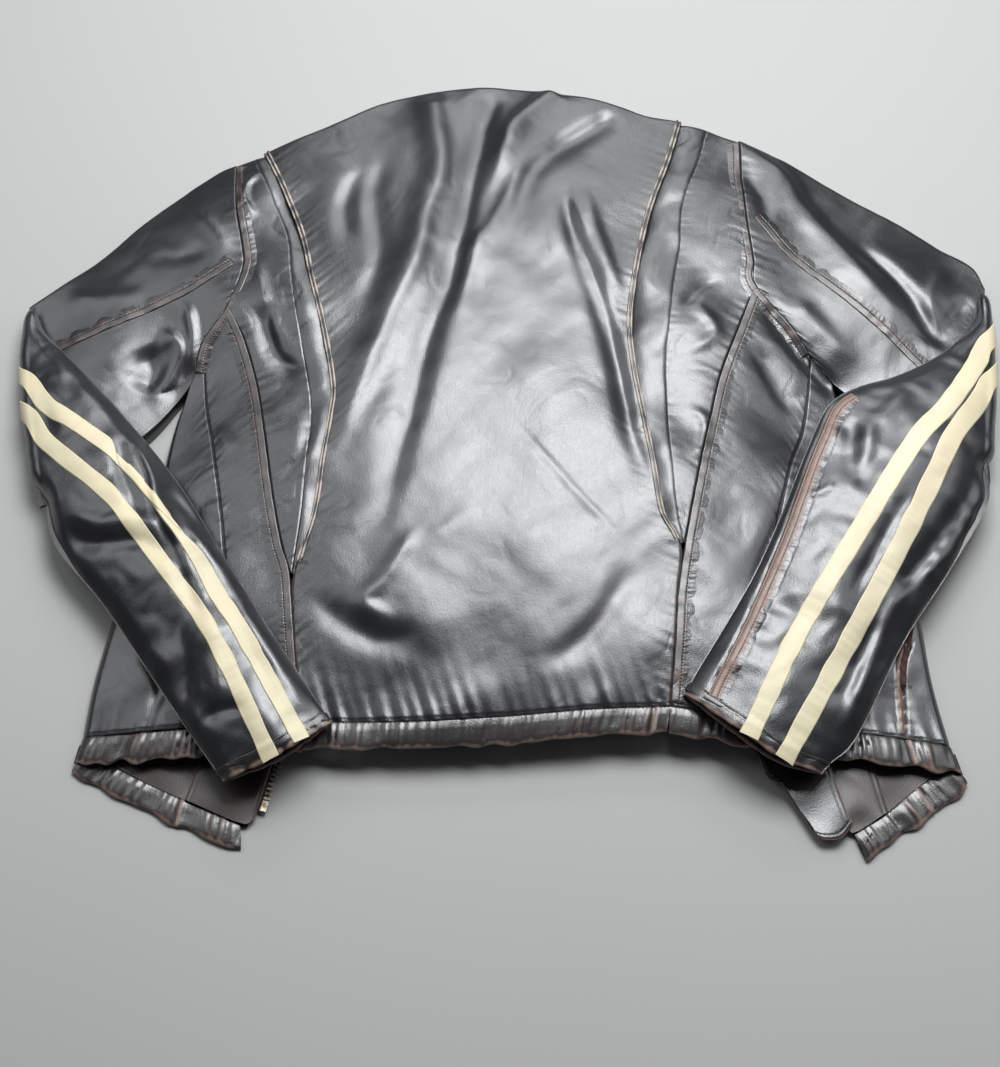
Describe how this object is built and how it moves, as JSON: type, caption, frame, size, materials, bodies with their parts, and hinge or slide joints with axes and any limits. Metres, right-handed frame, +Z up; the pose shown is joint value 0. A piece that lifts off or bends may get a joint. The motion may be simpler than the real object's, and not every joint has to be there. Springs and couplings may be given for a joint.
{
  "type": "leather jacket",
  "caption": "Zip-front leather riding jacket with pleated back, striped sleeves and gathered hem, laid face down with its forearms folded over its back.",
  "frame": {"origin": "middle of the base of the object's box, on the surface that it lies on", "axes": "+Y towards the collar, +X towards the wearer's right, +Z up, away from the surface under the jacket"},
  "size_m": [0.9118, 0.7625, 0.0598],
  "materials": {
    "leather_black": "semi-gloss black leather with fine grain, worn at the edges",
    "piping_tan": "worn tan-brown double piping",
    "stripe_cream": "cream leather with edge stitching",
    "lining_brown": "dark red-brown twill",
    "tape_black": "black woven tape and elastic",
    "zip_metal": "aged nickel-brass"
  },
  "bodies": {
    "torso": {"back_panel": "leather_black", "collar": "leather_black", "hem_band_back": "leather_black", "zip_underlap": "leather_black", "pleat_gusset_left": "leather_black", "pleat_gusset_right": "leather_black", "side_back_panel_left": "leather_black", "side_back_panel_right": "leather_black", "side_panel_left": "leather_black", "side_panel_right": "leather_black", "underarm_panel_left": "leather_black", "underarm_panel_right": "leather_black", "front_panel_left": "leather_black", "front_panel_right": "leather_black", "hem_band_side_left": "leather_black", "hem_band_side_right": "leather_black", "hem_band_front_left": "leather_black", "hem_band_front_right": "leather_black", "pocket_welt_left": "leather_black", "pocket_welt_right": "leather_black", "upper_sleeve_back_left": "leather_black", "upper_sleeve_back_right": "leather_black", "upper_sleeve_front_left": "leather_black", "upper_sleeve_front_right": "leather_black", "pleat_piping_left": "piping_tan", "pleat_piping_right": "piping_tan", "back_lining": "lining_brown", "front_lining_left": "lining_brown", "front_lining_right": "lining_brown", "front_facing_left": "lining_brown", "front_facing_right": "lining_brown", "pocket_bag_left": "lining_brown", "pocket_bag_right": "lining_brown", "zip_tape_left": "tape_black", "zip_tape_right": "tape_black", "hem_elastic_left": "tape_black", "hem_elastic_right": "tape_black", "zip_box": "zip_metal", "zip_pin": "zip_metal", "zip_chain_left": "zip_metal", "zip_chain_right": "zip_metal", "zip_top_stop_left": "zip_metal", "zip_top_stop_right": "zip_metal"},
    "forearm_left": {"forearm_outer_left": "leather_black", "forearm_inner_left": "leather_black", "cuff_hem_left": "leather_black", "stripe_inner_left": "stripe_cream", "stripe_outer_left": "stripe_cream"},
    "forearm_right": {"forearm_outer_right": "leather_black", "forearm_inner_right": "leather_black", "cuff_hem_right": "leather_black", "stripe_inner_right": "stripe_cream", "stripe_outer_right": "stripe_cream"},
    "slider": {"zip_slider": "zip_metal"},
    "pull": {"zip_pull": "zip_metal"}
  },
  "joints": [
    {"name": "sleeve_fold_left", "type": "hinge", "parent": "torso", "child": "forearm_left", "pos_m": [-0.464, 0.1, 0.0225], "axis": [0.1961, -0.9806, 0], "range_deg": [0, 150]},
    {"name": "sleeve_fold_right", "type": "hinge", "parent": "torso", "child": "forearm_right", "pos_m": [0.462, 0.1, 0.0225], "axis": [0.134, 0.991, 0], "range_deg": [0, 150]},
    {"name": "zip_slide", "type": "slide", "parent": "torso", "child": "slider", "axis": [-0.2425, 0.9701, 0], "range_m": [0, 0.6]},
    {"name": "zip_pull_flip", "type": "hinge", "parent": "slider", "child": "pull", "pos_m": [0.26345, -0.335, 0.0009], "axis": [0.9701, 0.2425, 0], "range_deg": [0, 170]}
  ]
}
